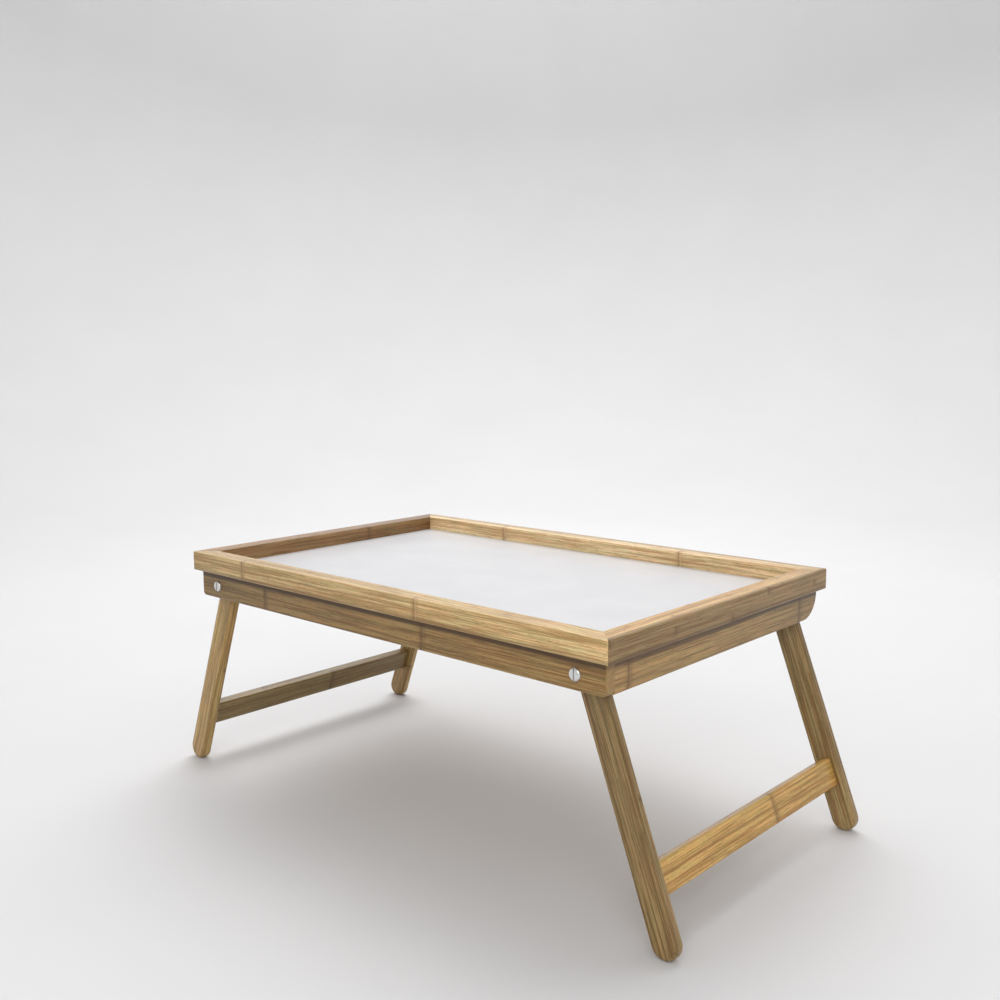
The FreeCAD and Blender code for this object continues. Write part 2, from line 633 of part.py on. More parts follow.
def build():
    half_length, half_width = "(Dims.tray_length / 2)", "(Dims.tray_width / 2)"
    make_rim_board("rim_front", half_length, half_width, 0, LONG_PEGS)
    make_rim_board("rim_right", half_width, half_length, QUARTER_TURN, END_PEGS)
    make_rim_board("rim_back", half_length, half_width, HALF_TURN, LONG_PEGS)
    make_rim_board("rim_left", half_width, half_length, -QUARTER_TURN, END_PEGS)
    make_panel()
    make_front_apron()
    make_back_apron()
    make_end_apron("apron_left", -1)
    make_end_apron("apron_right", 1)
    make_apron_dowels()
    make_rim_dowels()
    for side, side_name in ((-1, "left"), (1, "right")):
        for end, end_name in ((-1, "front"), (1, "back")):
            corner = f"{side_name}_{end_name}"
            make_leg(f"leg_{corner}", side, end)
            make_pivot_bolt(f"pivot_bolt_{corner}", side, end)
            make_barrel_nut(f"barrel_nut_{corner}", side, end)
            make_washer(f"pivot_washer_{corner}", side, end)
        make_stretcher(f"stretcher_{side_name}", side)
        make_leg_dowels(f"leg_dowels_{side_name}", side)


def check_document():
    doc.recompute()
    for item in doc.Objects:
        if "Invalid" in item.State or "Error" in item.State:
            raise RuntimeError(f"{item.Label} did not compute: {item.State}")
    for node in nodes:
        if node.Shape.isNull() or not node.Shape.isValid():
            raise RuntimeError(f"{node.Label} has no valid shape")


def write_parts():
    os.makedirs("parts", exist_ok=True)
    for node in nodes:
        node.Shape.exportStep(f"parts/{node.Label}.step")


sheet = fill_sheet()
build()
check_document()
write_parts()
print("pivot x, z:", round(size_of(PIVOT_X), 3), round(size_of(PIVOT_Z), 3))
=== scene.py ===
"""Looks of the folding tray table: lacquered bamboo, white laminate and zinc-plated pivots, in a studio.

Metres: X runs along the tray, Y across it from front to back, Z up from the floor. Every wood material is
solid: its grain, strips, growth nodes and flecks fill the board in the board's own directions, so faces,
edges and end grain agree. Inside the materials lengths are in millimetres.
"""

import json
import math
from collections import namedtuple

import bmesh
import bpy
from mathutils import Matrix, Vector


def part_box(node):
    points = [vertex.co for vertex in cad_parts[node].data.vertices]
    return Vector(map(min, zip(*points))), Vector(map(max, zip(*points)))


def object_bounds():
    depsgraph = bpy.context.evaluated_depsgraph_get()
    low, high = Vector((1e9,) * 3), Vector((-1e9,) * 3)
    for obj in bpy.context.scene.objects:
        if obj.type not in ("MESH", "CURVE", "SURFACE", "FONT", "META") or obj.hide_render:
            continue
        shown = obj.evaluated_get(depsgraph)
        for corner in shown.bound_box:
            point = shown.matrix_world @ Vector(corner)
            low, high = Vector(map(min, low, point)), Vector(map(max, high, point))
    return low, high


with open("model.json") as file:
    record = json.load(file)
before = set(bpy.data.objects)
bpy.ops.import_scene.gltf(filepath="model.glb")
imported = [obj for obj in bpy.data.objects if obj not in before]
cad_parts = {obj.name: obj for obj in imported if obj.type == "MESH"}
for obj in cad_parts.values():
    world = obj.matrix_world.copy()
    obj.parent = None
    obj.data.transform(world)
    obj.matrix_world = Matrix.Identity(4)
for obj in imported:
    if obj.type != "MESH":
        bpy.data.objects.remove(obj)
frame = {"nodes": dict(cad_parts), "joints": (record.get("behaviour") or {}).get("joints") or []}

CAD_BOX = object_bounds()
NODES = frame["nodes"]

X_AXIS, Y_AXIS, Z_AXIS = Vector((1, 0, 0)), Vector((0, 1, 0)), Vector((0, 0, 1))
MILLIMETRES = 1000

# ---- sizes that the materials follow, in millimetres ----

GLUE_LINE = 0.13
EDGE_WEAR, EDGE_RUBBED = 1.3, 0.2
SLOT_HALF_WIDTH = 0.62

# How far the fibres wander sideways, how fast that changes along and across the board, and how far apart two
# strips may start in the same pattern.
FIBRE_WANDER = 2.0
WANDER_PER_MM = (0.006, 0.02)
STRIP_OFFSET = 37

# A growth node: half the width of its band, the scar and the ridge in the band, how unevenly and how bowed
# the node runs across a strip, and how far the fibres swirl near it.
NODE_BAND = 6.08
SCAR_AT, SCAR_HALF_WIDTH = -0.9, 0.6
RIDGE_AT, RIDGE_HALF_WIDTH = 1.4, 1.1
NODE_RIPPLE, RIPPLE_PER_MM = 2.6, 0.22
NODE_BOW = 0.006
NODE_SWIRL, SWIRL_PER_MM = 1.3, 0.3

# ---- a board: where it is and how its grain runs ----

Board = namedtuple("Board", "centre along across through size strips")

# How a board is laminated: how many bamboo strips lie across it and through it, where its outer strip has
# its growth nodes (one of them, in millimetres along from the board's middle, and their spacing), how light
# that strip is beside the inner ones, which on the right rim is painted shade on its outer face, and how
# much lighter the wood gets from the middle to the far end, which is painted light and shade along the
# board.
Strips = namedtuple("Strips", "across through node_at node_spacing skin drift", defaults=(1.0, 0.0))

# Painted shade where rim and apron meet, standing in for the shade along the joint under the rim's overhang:
# at the board's upper edge (1) or its lower one (-1), how far it reaches from there in millimetres, and how
# dark it is. Within the core share of its reach, set below, it is at its darkest.
PaintedShade = namedtuple("PaintedShade", "edge reach dirt")
PAINTED_SHADE_CORE = 0.55


def board_on_axes(node, along, outward, strips):
    """A board square to the frame, whose outer face looks outward."""
    low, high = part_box(node)
    extent = high - low
    size = [abs(extent.dot(axis)) for axis in (along, Z_AXIS, outward)]
    return Board((low + high) / 2, along, Z_AXIS, outward, size, strips)


def pivot_of(side):
    """The joint that a leg frame turns on: a point of its axis at the table's middle."""
    joint = next(j for j in frame["joints"] if j["name"] == f"{side}_leg_fold")
    return Vector(joint["pos_m"])


def leg_board(side, end, strips):
    """A leg's board: its grain runs from the pivot to the centre of the round foot."""
    low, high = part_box(f"leg_{side}_{end}")
    pivot = pivot_of(side)
    radius = high.z - pivot.z
    foot_x = high.x - radius if side == "right" else low.x + radius
    middle_y = (low.y + high.y) / 2
    top, foot = Vector((pivot.x, middle_y, pivot.z)), Vector((foot_x, middle_y, low.z + radius))
    along = (foot - top).normalized()
    size = [(foot - top).length + 2 * radius, 2 * radius, high.y - low.y]
    outward = Y_AXIS if end == "back" else -Y_AXIS
    return Board((top + foot) / 2, along, Y_AXIS.cross(along), outward, size, strips)


def stretcher_board(side, leg, strips):
    """A stretcher's board, which leans with its leg."""
    low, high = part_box(f"stretcher_{side}")
    outward = leg.across if leg.across.x * leg.centre.x > 0 else -leg.across
    height, thick = solve_section(high.x - low.x, high.z - low.z, abs(leg.along.z))
    return Board((low + high) / 2, Y_AXIS, leg.along, outward, [high.y - low.y, height, thick], strips)


def solve_section(width_x, width_z, cosine):
    """Height and thickness of a leaning rectangular section, from its level box and its lean's cosine."""
    sine = math.sqrt(1 - cosine * cosine)
    turn = cosine * cosine - sine * sine
    return (width_z * cosine - width_x * sine) / turn, (width_x * cosine - width_z * sine) / turn


# ---- building a material's nodes ----


def colour(red, green, blue):
    """A display colour, 0 to 255 each, as the linear colour that a shader takes."""
    def linear(value):
        share = value / 255
        return share / 12.92 if share <= 0.04045 else ((share + 0.055) / 1.055) ** 2.4

    return (linear(red), linear(green), linear(blue), 1)


class Shader:
    """One material with its Principled shader, and short names for the nodes that feed it."""

    def __init__(self, name):
        self.material = bpy.data.materials.new(name)
        self.material.use_nodes = True
        self.tree = self.material.node_tree
        self.surface = self.tree.nodes["Principled BSDF"]

    def node(self, kind, inputs=(), **settings):
        made = self.tree.nodes.new(f"ShaderNode{kind}")
        for name, value in settings.items():
            setattr(made, name, value)
        for key, value in dict(inputs).items():
            self.feed(made.inputs[key], value)
        return made

    def feed(self, socket, value):
        if isinstance(value, bpy.types.NodeSocket):
            self.tree.links.new(value, socket)
        else:
            socket.default_value = value

    def set(self, **values):
        """Feed sockets of the Principled shader. A name's underscores stand for spaces."""
        for name, value in values.items():
            self.feed(self.surface.inputs[name.replace("_", " ")], value)

    def math(self, operation, first, second=0.0, clamp=False):
        return self.node("Math", {0: first, 1: second}, operation=operation, use_clamp=clamp).outputs[0]

    def vector_math(self, operation, first, second):
        made = self.node("VectorMath", {0: first, 1: second}, operation=operation)
        return made.outputs["Value" if operation == "DOT_PRODUCT" else "Vector"]

    def clamp(self, value, low, high):
        return self.math("MINIMUM", self.math("MAXIMUM", value, low), high)

    def sum_of(self, *values):
        total = values[0]
        for value in values[1:]:
            total = self.math("ADD", total, value)
        return total

    def times(self, first, second):
        return self.math("MULTIPLY", first, second)

    def swing(self, value, amount):
        """How far a value from 0 to 1 is from its middle, times an amount."""
        return self.times(self.math("SUBTRACT", value, 0.5), amount)

    def vector(self, x, y, z):
        return self.node("CombineXYZ", {0: x, 1: y, 2: z}).outputs[0]

    def part(self, vector, axis):
        return self.node("SeparateXYZ", {0: vector}).outputs[axis]

    def ramp(self, value, low, high, to_low=0.0, to_high=1.0):
        """Smooth step from to_low to to_high as value goes from low to high."""
        keys = {"Value": value, "From Min": low, "From Max": high, "To Min": to_low, "To Max": to_high}
        return self.node("MapRange", keys, interpolation_type="SMOOTHSTEP").outputs[0]

    def bell(self, distance, half_width):
        """1 at distance 0, falling to 0 at half_width on either side."""
        return self.ramp(self.math("ABSOLUTE", distance), 0, half_width, 1, 0)

    def noise(self, vector, scale=1.0, detail=2.0, roughness=0.5):
        keys = {"Vector": vector, "Scale": scale, "Detail": detail, "Roughness": roughness}
        return self.node("TexNoise", keys, noise_dimensions="3D").outputs["Fac"]

    def chance(self, vector):
        """A random number from 0 to 1 for each distinct vector."""
        return self.node("TexWhiteNoise", {"Vector": vector}, noise_dimensions="3D").outputs["Value"]

    def mix(self, share, first, second, blend="MIX"):
        made = self.node("Mix", data_type="RGBA", blend_type=blend)
        for index, value in ((0, share), (6, first), (7, second)):
            self.feed(made.inputs[index], value)
        return made.outputs[2]

    def stain(self, base, stain, mask, share):
        """base with this share of the stain's colour where the mask is 1."""
        return self.mix(self.times(mask, share), base, stain)

    def place_mm(self, centre):
        """Where the point is from centre, in millimetres."""
        point = self.node("TexCoord").outputs["Object"]
        offset = self.vector_math("SUBTRACT", point, centre)
        return self.vector_math("MULTIPLY", offset, (MILLIMETRES,) * 3)

    def facing(self, axis):
        """How squarely the surface faces along an axis, from 0 to 1."""
        normal = self.node("TexCoord").outputs["Normal"]
        return self.math("ABSOLUTE", self.vector_math("DOT_PRODUCT", normal, axis))

    def bump(self, height_mm):
        """Relief from a height in millimetres."""
        keys = {"Height": height_mm, "Distance": 1 / MILLIMETRES, "Strength": 1.0}
        self.set(Normal=self.node("Bump", keys).outputs[0])


# ---- bamboo ----

Tone = namedtuple("Tone", "light dark node fleck")
WARM, OLIVE = (1.055, 0.97, 0.88, 1), (0.96, 1.02, 0.92, 1)

# Streaks in the wood: their usual length and width in millimetres, and how finely they break up.
Fibres = namedtuple("Fibres", "length width detail", defaults=(2.0,))
BROAD, STREAKS = Fibres(340, 5, 1), Fibres(75, 2.4)
MEDIUM, FINE = Fibres(60, 0.95), Fibres(17, 0.32)
FIBRE_ROUGHNESS = 0.55

# Streaks that show as marks: how strong they are where a mark starts and where it is full, and how much of
# its own colour it then has.
Marks = namedtuple("Marks", "fibres start full share")
TINTS = Marks(Fibres(34, 4.2), 0.36, 0.64, 1.0)
BANDS = Marks(Fibres(300, 2.0, 1), 0.60, 0.69, 0.55)
BUNDLES = Marks(Fibres(48, 0.5, 1), 0.54, 0.68, 0.5)
VESSELS = Marks(Fibres(7, 0.26, 1), 0.58, 0.70, 0.55)
PORES = Marks(Fibres(60, 0.7, 1), 0.5, 0.66, 0.3)

# Each strip's growth nodes are shifted from those of the strips beside it and behind it, by these shares of
# their spacing. The salts keep one random draw apart from another.
ROW_SHIFT, DEPTH_SHIFT = 0.37, 0.61
RIPPLE_SALT, CULM_SALT, STRIP_SALT = 3.1, (0.37, 0.61), (0.19, 0.83, 0.47)


def shaded(tone, share):
    """The same wood with its red, green and blue scaled."""
    return Tone(*(tuple(part * scale for part, scale in zip(one, (*share, 1))) for one in tone))


class Bamboo(Shader):
    """Laminated bamboo for one board. Its strips, fibres and growth nodes fill the board's solid."""

    def __init__(self, name, board, tone, seed):
        super().__init__(name)
        self.board, self.tone, self.seed = board, tone, float(seed)
        self.place = self.place_mm(board.centre)
        self.find_grain()
        self.find_strip()
        self.find_growth_nodes()
        self.swirl_grain()

    def along_axis(self, axis):
        """How far the point is from the board's centre along an axis, in millimetres."""
        return self.vector_math("DOT_PRODUCT", self.place, axis)

    def find_grain(self):
        """The point's place along, across and through the board, with a slow wander of the fibres."""
        axes = (self.board.along, self.board.across, self.board.through)
        self.along, across, through = (self.along_axis(axis) for axis in axes)
        scaled = (self.times(place, rate) for place, rate in zip((self.along, across), WANDER_PER_MM))
        stretched = self.vector(*scaled, self.seed)
        wander = self.swing(self.noise(stretched, detail=1), FIBRE_WANDER)
        self.across = self.math("ADD", across, wander)
        self.through = self.math("ADD", through, self.times(wander, 0.5))

    def find_strip(self):
        """The point's glued strip: its row across, its depth under the outer face, and a vector of its own.
        Also a mask of the glue lines between strips."""
        strips = self.board.strips
        cells, lines = [], []
        places, counts = (self.across, self.through), (strips.across, strips.through)
        for place, size, count in zip(places, self.board.size[1:], counts):
            width = size * MILLIMETRES / count
            share = self.math("ADD", self.math("DIVIDE", place, width), count / 2)
            share = self.clamp(share, 0.5, count - 0.5)
            cells.append(self.math("FLOOR", share))
            from_line = self.times(self.math("PINGPONG", share, 0.5), width)
            lines.append(self.ramp(from_line, 0, GLUE_LINE, 1, 0) if count > 1 else 0.0)
        self.row, self.depth = cells[0], self.math("SUBTRACT", strips.through - 1, cells[1])
        self.cell = self.vector(self.row, self.depth, self.seed)
        self.glue = self.math("MAXIMUM", *lines)

    def find_growth_nodes(self):
        """Masks for the culm's joints: a broad band, with a dark scar and a pale ridge in it. Also a random
        number for each length of culm between two joints."""
        strips = self.board.strips
        shift = self.math("ADD", self.times(self.row, ROW_SHIFT), self.times(self.depth, DEPTH_SHIFT))
        share = self.math("DIVIDE", self.math("SUBTRACT", self.along, strips.node_at), strips.node_spacing)
        share = self.sum_of(share, shift, 0.5)
        number = self.math("FLOOR", share)
        from_node = self.swing(self.math("FRACT", share), strips.node_spacing)
        salted, scaled = self.times(number, RIPPLE_SALT), self.times(self.across, RIPPLE_PER_MM)
        ripple = self.swing(self.noise(self.vector(salted, scaled, self.depth)), NODE_RIPPLE)
        bow = self.times(self.times(self.across, self.across), NODE_BOW)
        from_node = self.sum_of(from_node, ripple, bow)
        culm = self.math("ADD", number, self.math("GREATER_THAN", from_node, 0))
        self.culm = self.chance(self.vector_math("ADD", self.cell, self.vector(culm, *CULM_SALT)))
        self.band = self.bell(from_node, NODE_BAND)
        self.scar = self.bell(self.math("SUBTRACT", from_node, SCAR_AT), SCAR_HALF_WIDTH)
        self.ridge = self.bell(self.math("SUBTRACT", from_node, RIDGE_AT), RIDGE_HALF_WIDTH)

    def swirl_grain(self):
        """Fibres that swirl sideways near a growth node, and differ from strip to strip."""
        scaled = (self.times(place, SWIRL_PER_MM) for place in (self.along, self.across))
        swirl = self.swing(self.noise(self.vector(*scaled, self.through), detail=1), NODE_SWIRL)
        swirl = self.times(swirl, self.band)
        strip = self.chance(self.vector_math("ADD", self.cell, STRIP_SALT))
        self.across = self.sum_of(self.across, swirl, self.times(strip, STRIP_OFFSET))

    def streaks(self, fibres):
        """How strong these fibres are at the point, about 0.5 on average."""
        sizes = (fibres.length, fibres.width, fibres.width)
        places = (self.along, self.across, self.through)
        scaled = (self.times(place, 1 / size) for place, size in zip(places, sizes))
        return self.noise(self.vector(*scaled), detail=fibres.detail, roughness=FIBRE_ROUGHNESS)

    def marks(self, kind):
        """1 where the point lies in a full mark of this kind, 0 where it lies in none."""
        return self.ramp(self.streaks(kind.fibres), kind.start, kind.full)

    def fibre_colour(self, medium, fine, vessels):
        """The wood's own colour, from broad bands down to single vessels."""
        shade = self.sum_of(
            self.swing(self.streaks(BROAD), 2.1),
            self.swing(self.streaks(STREAKS), 2.1),
            self.swing(medium, 2.6),
            self.swing(fine, 2.2),
            self.swing(self.culm, 0.3),
            0.5,
        )
        wood = self.mix(self.math("ADD", shade, 0.0, clamp=True), self.tone.dark, self.tone.light)
        tint = self.mix(self.marks(TINTS), WARM, OLIVE)
        wood = self.mix(TINTS.share, wood, tint, "MULTIPLY")
        wood = self.stain(wood, self.tone.node, self.marks(BANDS), BANDS.share)
        wood = self.stain(wood, self.tone.node, self.marks(BUNDLES), BUNDLES.share)
        return self.stain(wood, self.tone.fleck, vessels, VESSELS.share)

    def growth_node_colour(self, wood, medium):
        """The clouded band of a growth node, with its scar and its ridge."""
        cloud = self.times(self.band, self.ramp(medium, 0.3, 0.7, 0.35, 0.85))
        wood = self.mix(cloud, wood, self.tone.node)
        wood = self.stain(wood, self.tone.fleck, self.scar, 0.6)
        return self.stain(wood, self.tone.light, self.ridge, 0.25)

    def end_grain_colour(self, wood, end_grain):
        """Cut ends, paler and full of pores."""
        wood = self.stain(wood, self.tone.light, end_grain, 0.45)
        return self.stain(wood, self.tone.fleck, self.times(end_grain, self.marks(PORES)), PORES.share)

    def worn_colour(self, wood, edge):
        """Edges rubbed pale here and there."""
        patches = self.noise(self.vector(self.times(self.along, 0.05), self.across, self.through))
        return self.stain(wood, self.tone.light, self.times(edge, self.ramp(patches, 0.35, 0.65)), 0.35)

    def board_light(self):
        """How light the outer strip is, and the painted light and shade that runs from end to end of the
        board.
        """
        strips = self.board.strips
        # a darker outer strip on the right rim is painted shade on its outer face
        skin = self.ramp(self.depth, 0.4, 0.6, strips.skin, 1)
        # painted light and shade: the wood lighter towards one end of the board
        drift = self.times(self.along, strips.drift * 2 / (self.board.size[0] * MILLIMETRES))
        return self.times(skin, self.math("ADD", drift, 1))

    def painted_shade_mask(self, painted_shade):
        """Painted shade: 1 at the board's edge where rim and apron meet, falling to 0 at its reach."""
        rise = self.along_axis(self.board.across * painted_shade.edge)
        half = self.board.size[1] * MILLIMETRES / 2
        return self.ramp(rise, half - painted_shade.reach, half - painted_shade.reach * PAINTED_SHADE_CORE)

    def edge_mask(self):
        """1 on the board's long edges, where hands and cloths rub it."""
        masks = []
        for axis, size in zip((self.board.across, self.board.through), self.board.size[1:]):
            half = size * MILLIMETRES / 2
            from_middle = self.math("ABSOLUTE", self.along_axis(axis))
            masks.append(self.ramp(from_middle, half - EDGE_WEAR, half - EDGE_RUBBED))
        return self.times(masks[0], masks[1])


def bamboo(name, board, tone, seed, painted_shade=None):
    """A board's material, with painted shade along the edge where rim and apron meet, if that is given."""
    shader = Bamboo(name, board, tone, seed)
    medium, fine = shader.streaks(MEDIUM), shader.streaks(FINE)
    vessels = shader.marks(VESSELS)
    end_grain = shader.ramp(shader.facing(board.along), 0.6, 0.9)
    edge = shader.edge_mask()

    wood = shader.fibre_colour(medium, fine, vessels)
    wood = shader.growth_node_colour(wood, medium)
    wood = shader.stain(wood, tone.fleck, shader.glue, 0.45)
    # painted shade: darker towards the edge where rim and apron meet
    if painted_shade:
        wood = shader.stain(wood, tone.fleck, shader.painted_shade_mask(painted_shade), painted_shade.dirt)
    wood = shader.end_grain_colour(wood, end_grain)
    wood = shader.worn_colour(wood, edge)
    light = shader.board_light()
    wood = shader.mix(1.0, wood, shader.vector(light, light, light), "MULTIPLY")

    roughness = shader.sum_of(
        0.40,
        shader.swing(medium, 0.22),
        shader.times(vessels, 0.12),
        shader.times(end_grain, 0.16),
        shader.times(edge, 0.06),
    )
    height = shader.sum_of(
        shader.times(medium, 0.026),
        shader.times(fine, 0.016),
        shader.times(vessels, -0.02),
        shader.times(shader.ridge, 0.05),
        shader.times(shader.scar, -0.06),
        shader.times(shader.glue, -0.035),
    )
    shader.set(Base_Color=wood, Roughness=roughness, Specular_IOR_Level=0.15)
    shader.set(Coat_Weight=0.5, Coat_Roughness=0.16)
    shader.bump(height)
    return shader.material


# ---- laminate, metal and dowels ----


def laminate(name):
    """White melamine face, faintly mottled and scuffed, over a fibreboard back."""
    shader = Shader(name)
    low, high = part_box("tray_panel")
    place = shader.place_mm((low + high) / 2)
    mottle = shader.noise(place, scale=0.02, detail=3)
    speckle = shader.noise(place, scale=1.6)
    white = shader.mix(shader.ramp(mottle, 0.3, 0.7), colour(207, 208, 211), colour(212, 212, 214))

    def scuffs(angle, seed):
        """Fine scratches that run at an angle, in patches."""
        turned = Matrix.Rotation(angle, 3, "Z")
        run, side = (shader.vector_math("DOT_PRODUCT", place, turned @ axis) for axis in (X_AXIS, Y_AXIS))

        def pattern(run_per_mm, side_per_mm):
            scaled = shader.times(run, run_per_mm), shader.times(side, side_per_mm)
            return shader.noise(shader.vector(*scaled, seed), detail=1)

        lines, patches = pattern(0.035, 1.7), pattern(0.02, 0.02)
        return shader.times(shader.ramp(lines, 0.69, 0.78), shader.ramp(patches, 0.5, 0.62))

    scuffed = shader.math("MAXIMUM", scuffs(angle=0.35, seed=3.0), scuffs(angle=-0.8, seed=11.0))
    white = shader.stain(white, colour(196, 196, 198), scuffed, 0.12)
    normal_z = shader.part(shader.node("TexCoord").outputs["Normal"], "Z")
    back = shader.ramp(normal_z, 0.5, 0.0)
    felt_place = shader.vector_math("MULTIPLY", place, (0.9, 0.35, 2.0))
    felted = shader.noise(felt_place, detail=4, roughness=0.7)
    board = shader.mix(felted, colour(176, 150, 118), colour(208, 186, 154))
    roughness = shader.sum_of(
        0.27,
        shader.times(mottle, 0.08),
        shader.times(scuffed, 0.16),
        shader.times(back, 0.35),
    )
    height = shader.sum_of(
        shader.times(speckle, 0.004),
        shader.times(scuffed, -0.006),
        shader.times(shader.times(back, felted), 0.05),
    )
    shader.set(Base_Color=shader.mix(back, white, board), Roughness=roughness, IOR=1.52)
    shader.bump(height)
    return shader.material


def turned_metal(name, node):
    """Zinc-plated steel turned about the pivot's axis, with dirt in its driver slot."""
    shader = Shader(name)
    low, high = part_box(node)
    place = shader.place_mm((low + high) / 2)
    across, rise = shader.part(place, "X"), shader.part(place, "Z")
    radius = shader.math("SQRT", shader.math("ADD", shader.times(across, across), shader.times(rise, rise)))
    rings = shader.noise(shader.vector(shader.times(radius, 9), 0.4, 0.7), detail=3, roughness=0.7)
    blotches = shader.noise(place, scale=0.55, detail=3)
    plating = shader.mix(shader.ramp(blotches, 0.35, 0.7), colour(226, 226, 224), colour(240, 240, 239))
    plating = shader.stain(plating, colour(176, 175, 170), rings, 0.25)
    in_slot = shader.ramp(shader.math("ABSOLUTE", across), SLOT_HALF_WIDTH + 0.08, SLOT_HALF_WIDTH - 0.05)
    grime = shader.times(in_slot, shader.ramp(blotches, 0.2, 0.6, 0.35, 0.8))
    plating = shader.stain(plating, colour(92, 88, 80), grime, 0.3)
    walls = shader.ramp(shader.facing(Y_AXIS), 0.6, 0.2)
    roughness = shader.sum_of(
        0.24,
        shader.times(rings, 0.14),
        shader.times(blotches, 0.08),
        shader.times(walls, 0.05),
    )
    shader.set(Base_Color=plating, Roughness=roughness, Metallic=1.0)
    shader.bump(shader.sum_of(shader.times(rings, 0.012), shader.times(blotches, 0.006)))
    return shader.material


def dowel_wood(name, node, axis):
    """Unfinished beech dowels: straight pores along their axis and darker ends."""
    shader = Shader(name)
    low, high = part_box(node)
    place = shader.place_mm((low + high) / 2)
    stretched = shader.vector_math("MULTIPLY", place, Vector((1, 1, 1)) - axis * 0.96)
    pores = shader.noise(stretched, scale=3.2, detail=3, roughness=0.65)
    rays = shader.noise(stretched, scale=0.7, detail=1)
    wood = shader.mix(shader.ramp(pores, 0.3, 0.7), colour(186, 146, 98), colour(222, 190, 146))
    wood = shader.stain(wood, colour(236, 208, 168), rays, 0.3)
    ends = shader.ramp(shader.facing(axis), 0.6, 0.9)
    wood = shader.stain(wood, colour(150, 112, 72), ends, 0.4)
    shader.set(Base_Color=wood, Roughness=shader.ramp(pores, 0.2, 0.8, 0.72, 0.6), IOR=1.5)
    shader.bump(shader.times(pores, 0.03))
    return shader.material


# ---- finishing every node ----


def dress(node, material):
    """Gives a node's piece its material."""
    piece = NODES[node]
    for place in piece.material_slots:
        place.material = material


RIM = Tone(colour(222, 190, 140), colour(168, 132, 84), colour(152, 115, 70), colour(100, 69, 38))
APRON = Tone(colour(198, 160, 106), colour(144, 108, 64), colour(114, 81, 45), colour(82, 55, 29))
LEG = Tone(colour(198, 162, 108), colour(144, 109, 64), colour(114, 81, 45), colour(80, 55, 29))
STRETCHER = Tone(colour(218, 176, 110), colour(168, 122, 62), colour(132, 90, 43), colour(96, 63, 30))

# Each board is its own piece of bamboo: its red, green and blue against the usual tone's, and its strips.
# These colour scales are partly each board's own tone and partly painted light and shade, as marked below.
RIM_BOARDS = {
    "front": ((1.09, 1.145, 1.19), Strips(1, 3, -168, 230, drift=0.15)),
    # painted light: the back rim is lighter, standing in for light on its inner face
    "back": ((1.36, 1.48, 1.80), Strips(1, 2, 21, 225, 0.74)),
    # painted shade: the left rim is darker, standing in for shade on its inner face
    "left": ((0.50, 0.425, 0.375), Strips(1, 2, -36, 220, 1.38, -0.18)),
    # painted shade: the right rim's darker outer strip stands in for shade on its outer face
    "right": ((1.09, 1.02, 0.91), Strips(3, 5, 2, 215, 0.50)),
}
APRON_BOARDS = {
    # painted shade: the front apron is darker, standing in for shade under the rim
    "front": ((0.68, 0.695, 0.65), Strips(1, 2, -142, 206, drift=0.2)),
    "back": ((0.80, 0.80, 0.78), Strips(1, 2, 40, 215)),
    "left": ((0.80, 0.80, 0.78), Strips(1, 2, -60, 235)),
    "right": ((0.82, 0.85, 0.82), Strips(1, 2, 118, 250, drift=-0.16)),
}
LEG_BOARDS = {
    ("left", "front"): ((1.00, 1.06, 1.02), Strips(1, 2, -95, 240)),
    ("left", "back"): ((0.90, 0.94, 0.92), Strips(1, 2, -30, 240)),
    # painted shade: the front right leg is darker, standing in for shade under the tray
    ("right", "front"): ((0.68, 0.73, 0.77), Strips(1, 2, -95, 240, drift=0.16)),
    ("right", "back"): ((0.80, 0.90, 1.00), Strips(1, 2, -189, 240, drift=0.16)),
}
STRETCHER_BOARDS = {
    # painted shade: the left stretcher is darker, standing in for shade on its face towards the floor
    "left": ((0.39, 0.46, 0.56), Strips(1, 2, -70, 230)),
    "right": ((1.06, 1.09, 1.05), Strips(1, 2, 30, 230)),
}

# The tray's two frames: kind, boards, tone, the seed before its first board's, and its painted shade along
# the joint of rim and apron.
TRAY_FRAMES = (
    ("rim", RIM_BOARDS, RIM, 0, PaintedShade(-1, 4.0, 0.4)),
    ("apron", APRON_BOARDS, APRON, 10, PaintedShade(1, 7.0, 0.85)),
)
FIRST_LEG_SEED = 21


def dress_tray_boards():
    """Rim and apron boards, side by side in the order front, back, left, right."""
    outward = {"front": -Y_AXIS, "back": Y_AXIS, "left": -X_AXIS, "right": X_AXIS}
    for seed, side in enumerate(outward, start=1):
        along = X_AXIS if side in ("front", "back") else Y_AXIS
        for kind, boards, tone, first, painted_shade in TRAY_FRAMES:
            share, strips = boards[side]
            node = f"{kind}_{side}"
            board = board_on_axes(node, along, outward[side], strips)
            wood = bamboo(f"bamboo_{node}", board, shaded(tone, share), first + seed, painted_shade)
            dress(node, wood)


def dress_leg_frames():
    """Each leg frame's two legs, its stretcher and its dowels."""
    seed = FIRST_LEG_SEED
    for side in ("left", "right"):
        for end in ("front", "back"):
            share, strips = LEG_BOARDS[side, end]
            leg = leg_board(side, end, strips)
            node = f"leg_{side}_{end}"
            dress(node, bamboo(f"bamboo_{node}", leg, shaded(LEG, share), seed))
            seed += 1
        share, strips = STRETCHER_BOARDS[side]
        board = stretcher_board(side, leg, strips)
        node = f"stretcher_{side}"
        dress(node, bamboo(f"bamboo_{node}", board, shaded(STRETCHER, share), seed))
        seed += 1
        node = f"leg_dowels_{side}"
        dress(node, dowel_wood(f"dowels_{side}", node, Y_AXIS))


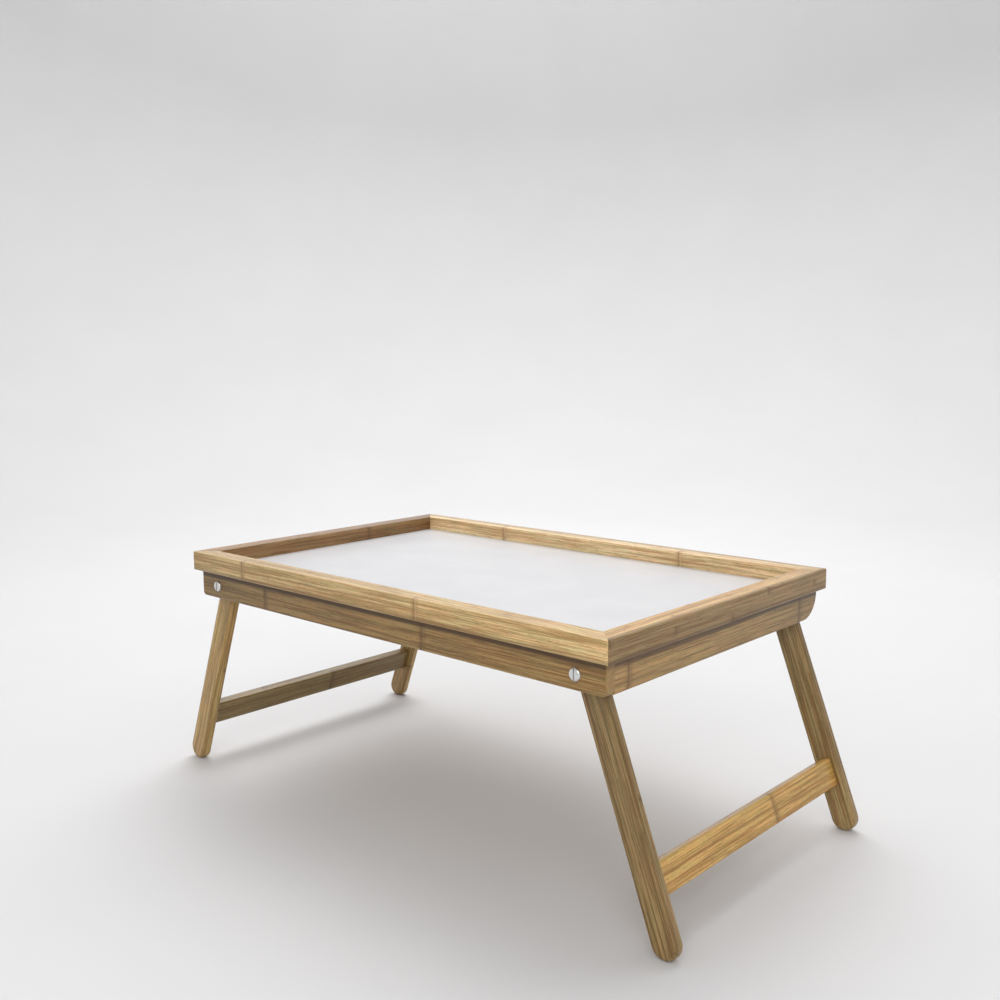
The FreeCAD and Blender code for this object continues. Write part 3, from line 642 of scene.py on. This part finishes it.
def dress_small_parts():
    """The panel, the tray's dowels and the pivots' metal."""
    dress("tray_panel", laminate("white_laminate"))
    dress("rim_dowels", dowel_wood("dowels_rim", "rim_dowels", Z_AXIS))
    dress("apron_dowels", dowel_wood("dowels_apron", "apron_dowels", Y_AXIS))
    for side in ("left", "right"):
        for end in ("front", "back"):
            for kind in ("pivot_bolt", "barrel_nut", "pivot_washer"):
                node = f"{kind}_{side}_{end}"
                dress(node, turned_metal(f"zinc_{node}", node))


# ---- stage, light and camera ----

FLOOR_RADIUS = 1.7
SWEEP_RADIUS = 1.3
WALL_TOP = 3.2
SWEEP_STEPS, ROUND_STEPS = 24, 96
MERGE_DISTANCE = 1e-5


def make_stage():
    """A pale floor that sweeps up into a round wall, with no edge in any direction."""
    data = bpy.data.meshes.new("studio_floor")
    shape_floor(data)
    data.materials.append(studio_paper())
    floor = bpy.data.objects.new("studio_floor", data)
    bpy.context.scene.collection.objects.link(floor)


def shape_floor(data):
    """Fills a mesh with the floor's half profile, turned about Z."""
    rings = [(0.0, 0.0), (FLOOR_RADIUS, 0.0)]
    for step in range(1, SWEEP_STEPS + 1):
        angle = math.radians(90) * step / SWEEP_STEPS
        rings.append((FLOOR_RADIUS + SWEEP_RADIUS * math.sin(angle), SWEEP_RADIUS * (1 - math.cos(angle))))
    rings.append((FLOOR_RADIUS + SWEEP_RADIUS, WALL_TOP))
    mesh = bmesh.new()
    profile = [mesh.verts.new((radius, 0, height)) for radius, height in rings]
    edges = [mesh.edges.new(pair) for pair in zip(profile, profile[1:])]
    turn = {"cent": (0, 0, 0), "axis": Z_AXIS, "angle": math.tau, "steps": ROUND_STEPS}
    bmesh.ops.spin(mesh, geom=profile + edges, **turn)
    bmesh.ops.remove_doubles(mesh, verts=mesh.verts, dist=MERGE_DISTANCE)
    bmesh.ops.recalc_face_normals(mesh, faces=mesh.faces)
    mesh.to_mesh(data)
    mesh.free()
    for face in data.polygons:
        face.use_smooth = True


def studio_paper():
    """Pale matt paper, very slightly mottled."""
    shader = Shader("studio_paper")
    place = shader.place_mm(Vector())
    tooth = shader.noise(place, scale=0.8)
    paper = shader.mix(shader.noise(place, scale=0.004), colour(216, 216, 217), colour(221, 221, 222))
    shader.set(Base_Color=paper, Roughness=shader.ramp(tooth, 0.2, 0.8, 0.75, 0.9))
    shader.bump(shader.times(tooth, 0.02))
    return shader.material


def add_softbox(name, place, target, size, watts):
    """A rectangular lamp that faces its target."""
    data = bpy.data.lights.new(name, "AREA")
    data.shape = "RECTANGLE"
    data.size, data.size_y = size
    data.energy = watts
    light = bpy.data.objects.new(name, data)
    light.location = place
    light.rotation_euler = (Vector(target) - Vector(place)).to_track_quat("-Z", "Y").to_euler()
    bpy.context.scene.collection.objects.link(light)


def make_lights():
    """Softboxes above the table, in front of it and at its right, one on the wall behind, and even light."""
    middle = (CAD_BOX[0] + CAD_BOX[1]) / 2
    add_softbox("overhead", (-0.7, 0.9, 2.2), middle, size=(2.0, 2.0), watts=41)
    add_softbox("front", (1.35, -1.7, 1.5), middle, size=(1.4, 1.0), watts=14)
    add_softbox("right", (1.7, -0.6, 1.9), middle, size=(1.0, 1.0), watts=0.8)
    add_softbox("backdrop", (-1.2, 1.3, 2.3), (-2.2, 2.4, 1.0), size=(1.6, 0.8), watts=7)
    world = bpy.data.worlds.new("studio_air")
    world.use_nodes = True
    air = world.node_tree.nodes["Background"]
    air.inputs["Color"].default_value = (1, 0.99, 0.98, 1)
    air.inputs["Strength"].default_value = 0.70
    bpy.context.scene.world = world


def make_camera():
    """The photograph's view: right of the front and a little above the rim, aimed just over the tray."""
    turn, fall, roll = math.radians(42.35), math.radians(7.84), math.radians(-0.31)
    reach, aim = 1.002, Vector((0.0074, 0, CAD_BOX[1].z + 0.056))
    back = Vector((math.sin(turn) * math.cos(fall), -math.cos(turn) * math.cos(fall), math.sin(fall)))
    data = bpy.data.cameras.new("camera")
    data.sensor_width = 36
    data.lens = 39.53
    camera = bpy.data.objects.new("camera", data)
    level = (-back).to_track_quat("-Z", "Y").to_matrix().to_4x4()
    camera.matrix_world = Matrix.Translation(aim + back * reach) @ level @ Matrix.Rotation(roll, 4, "Z")
    bpy.context.scene.collection.objects.link(camera)
    bpy.context.scene.camera = camera


dress_tray_boards()
dress_leg_frames()
dress_small_parts()
make_stage()
make_lights()
make_camera()
bpy.context.scene.view_settings.view_transform = "Standard"
